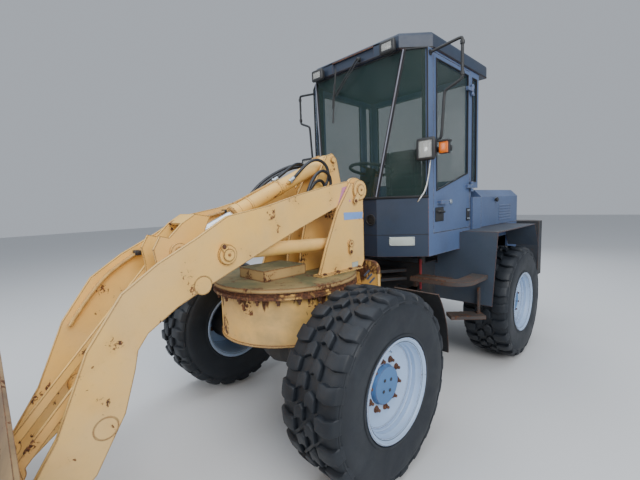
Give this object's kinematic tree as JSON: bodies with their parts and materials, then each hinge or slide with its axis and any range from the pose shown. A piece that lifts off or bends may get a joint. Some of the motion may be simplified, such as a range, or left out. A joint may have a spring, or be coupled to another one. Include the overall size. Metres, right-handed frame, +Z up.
{
  "type": "wheel loader",
  "caption": "Compact articulated wheel loader with a slewing boom, bucket, glazed cab and rear engine hood.",
  "frame": {"origin": "centre of the machine's box, on the ground", "axes": "+X to the machine's left, -Y forward, +Z up"},
  "size_m": [2.05, 5.8722, 2.7998],
  "materials": {
    "tyre": "worn",
    "rim_paint": "satin",
    "loader_paint": "worn satin",
    "bucket_paint": "scratched",
    "chassis_paint": "satin",
    "body_paint": "satin",
    "black_paint": "satin",
    "black_plastic": "matte",
    "red_plastic": "gloss",
    "seat_cloth": "woven",
    "glazing": "clear",
    "rod_chrome": "polished",
    "engine_iron": "rough"
  },
  "bodies": {
    "rear": {"pivot_fork": "chassis_paint", "rear_frame": "chassis_paint", "rear_axle": "chassis_paint", "engine_block": "engine_iron", "cab_front": "body_paint", "cab_floor": "black_paint", "cab_left": "body_paint", "cab_right": "body_paint", "cab_rear": "body_paint", "cab_roof": "body_paint", "cab_posts": "black_paint", "windscreen": "glazing", "cab_glass": "glazing", "seat_base": "black_plastic", "seat_pads": "seat_cloth", "steering_column": "black_paint", "body_sides": "body_paint", "counterweight": "chassis_paint", "fenders": "black_paint", "steps": "black_paint", "mirrors": "black_paint", "lamps": "black_plastic", "tail_lamps": "red_plastic"},
    "door": {"door_left": "body_paint", "door_glass": "glazing"},
    "hood": {"hood": "body_paint", "exhaust": "black_paint"},
    "front": {"front_frame": "loader_paint", "front_axle": "chassis_paint", "front_guards": "black_paint"},
    "turntable": {"deck": "loader_paint", "tower_left": "loader_paint", "tower_right": "loader_paint", "tower_core": "loader_paint"},
    "boom": {"boom_left": "loader_paint", "boom_right": "loader_paint", "boom_cross": "loader_paint"},
    "lift_barrel": {"lift_barrels": "loader_paint"},
    "lift_rod": {"lift_rods": "rod_chrome"},
    "tilt_barrel_body": {"tilt_barrel": "loader_paint"},
    "tilt_rod_body": {"tilt_rod": "rod_chrome"},
    "lever": {"tilt_lever": "loader_paint"},
    "link": {"tilt_link": "loader_paint"},
    "bucket_body": {"coupler": "loader_paint", "bucket": "bucket_paint"},
    "steer_barrel_l": {"steer_barrel_left": "chassis_paint"},
    "steer_rod_l": {"steer_rod_left": "rod_chrome"},
    "steer_barrel_r": {"steer_barrel_right": "chassis_paint"},
    "steer_rod_r": {"steer_rod_right": "rod_chrome"},
    "wheel_fl": {"rim_fl": "rim_paint", "tyre_fl": "tyre"},
    "wheel_fr": {"rim_fr": "rim_paint", "tyre_fr": "tyre"},
    "wheel_rl": {"rim_rl": "rim_paint", "tyre_rl": "tyre"},
    "wheel_rr": {"rim_rr": "rim_paint", "tyre_rr": "tyre"}
  },
  "joints": [
    {"name": "articulation", "type": "hinge", "parent": "rear", "child": "front", "pos_m": [0, 0.62605, 0.67], "axis": [0, 0, 1], "range_deg": [-40, 40]},
    {"name": "slew", "type": "hinge", "parent": "front", "child": "turntable", "pos_m": [0, -0.38795, 1], "axis": [0, 0, 1], "range_deg": [-90, 90]},
    {"name": "lift", "type": "hinge", "parent": "turntable", "child": "boom", "pos_m": [0, 0.05405, 1.625], "axis": [-1, 0, 0], "range_deg": [0, 70]},
    {"name": "bucket_tilt", "type": "hinge", "parent": "boom", "child": "bucket_body", "pos_m": [0, -2.04395, 0.292], "axis": [1, 0, 0], "range_deg": [-5, 145]},
    {"name": "lever_turn", "type": "hinge", "parent": "boom", "child": "lever", "pos_m": [0, -1.28274, 1.13511], "axis": [1, 0, 0], "range_deg": [-5, 145]},
    {"name": "link_turn", "type": "hinge", "parent": "lever", "child": "link", "pos_m": [0, -1.20395, 1.308], "axis": [1, 0, 0], "range_deg": [-145, 5]},
    {"name": "lift_barrel_turn", "type": "hinge", "parent": "turntable", "child": "lift_barrel", "pos_m": [0, -0.05895, 1.242], "axis": [-1, 0, 0], "range_deg": [0, 66]},
    {"name": "lift_rod_slide", "type": "slide", "parent": "lift_barrel", "child": "lift_rod", "axis": [0, -0.9991, 0.0433], "range_m": [0, 0.44]},
    {"name": "tilt_barrel_turn", "type": "hinge", "parent": "turntable", "child": "tilt_barrel_body", "pos_m": [0, 0.05805, 1.87], "axis": [-1, 0, 0], "range_deg": [0, 72]},
    {"name": "tilt_rod_slide", "type": "slide", "parent": "tilt_barrel_body", "child": "tilt_rod_body", "axis": [0, -0.9135, -0.4068], "range_m": [-0.02, 0.41]},
    {"name": "steer_barrel_turn_l", "type": "hinge", "parent": "rear", "child": "steer_barrel_l", "pos_m": [0.235, 1.03605, 0.68], "axis": [0, 0, 1], "range_deg": [-18, 18]},
    {"name": "steer_rod_slide_l", "type": "slide", "parent": "steer_barrel_l", "child": "steer_rod_l", "axis": [0.0733, -0.9973, 0], "range_m": [-0.19, 0.19]},
    {"name": "steer_barrel_turn_r", "type": "hinge", "parent": "rear", "child": "steer_barrel_r", "pos_m": [-0.235, 1.03605, 0.68], "axis": [0, 0, 1], "range_deg": [-18, 18]},
    {"name": "steer_rod_slide_r", "type": "slide", "parent": "steer_barrel_r", "child": "steer_rod_r", "axis": [-0.0733, -0.9973, 0], "range_m": [-0.19, 0.19]},
    {"name": "door_hinge", "type": "hinge", "parent": "rear", "child": "door", "pos_m": [0.641, 1.32605, 1.9], "axis": [0, 0, 1], "range_deg": [0, 95]},
    {"name": "hood_hinge", "type": "hinge", "parent": "rear", "child": "hood", "pos_m": [0, 1.55605, 1.625], "axis": [1, 0, 0], "range_deg": [0, 50]},
    {"name": "wheel_fl_spin", "type": "hinge", "parent": "front", "child": "wheel_fl", "pos_m": [0.807, -0.44395, 0.53], "axis": [1, 0, 0], "continuous": true},
    {"name": "wheel_fr_spin", "type": "hinge", "parent": "front", "child": "wheel_fr", "pos_m": [-0.807, -0.44395, 0.53], "axis": [1, 0, 0], "continuous": true},
    {"name": "wheel_rl_spin", "type": "hinge", "parent": "rear", "child": "wheel_rl", "pos_m": [0.807, 1.70605, 0.53], "axis": [1, 0, 0], "continuous": true},
    {"name": "wheel_rr_spin", "type": "hinge", "parent": "rear", "child": "wheel_rr", "pos_m": [-0.807, 1.70605, 0.53], "axis": [1, 0, 0], "continuous": true}
  ],
  "couplings": [
    {"joint": "lever_turn", "follows": "bucket_tilt", "ratio": 1},
    {"joint": "link_turn", "follows": "bucket_tilt", "ratio": -1},
    {"joint": "lift_barrel_turn", "follows": "lift", "ratio": 0.93},
    {"joint": "lift_rod_slide", "follows": "lift", "m_per_rad": 0.355},
    {"joint": "tilt_barrel_turn", "follows": "lift", "ratio": 1},
    {"joint": "tilt_rod_slide", "follows": "bucket_tilt", "m_per_rad": 0.158},
    {"joint": "steer_barrel_turn_l", "follows": "articulation", "ratio": 0.42},
    {"joint": "steer_rod_slide_l", "follows": "articulation", "m_per_rad": -0.26},
    {"joint": "steer_barrel_turn_r", "follows": "articulation", "ratio": 0.42},
    {"joint": "steer_rod_slide_r", "follows": "articulation", "m_per_rad": 0.26}
  ]
}
